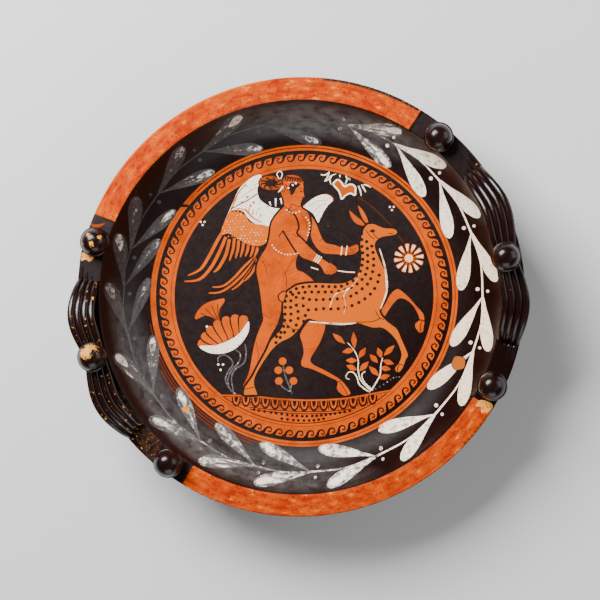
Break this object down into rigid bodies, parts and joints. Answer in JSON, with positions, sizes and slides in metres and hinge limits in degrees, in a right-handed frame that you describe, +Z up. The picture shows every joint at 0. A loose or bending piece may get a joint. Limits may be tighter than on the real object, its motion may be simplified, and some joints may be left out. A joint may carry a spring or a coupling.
{
  "type": "lekanis",
  "caption": "Open red-figure pottery dish with a flat rim, two upright ribbed arch handles, six knobs and a ring foot, one fired piece.",
  "frame": {"origin": "on the table, under the middle of the foot", "axes": "+Z up out of the bowl, +X along the line from one ribbed handle to the other"},
  "size_m": [0.3674, 0.3554, 0.1213],
  "materials": {
    "painted_terracotta": "satin"
  },
  "bodies": {
    "root": {"lekanis": "painted_terracotta"}
  },
  "joints": []
}
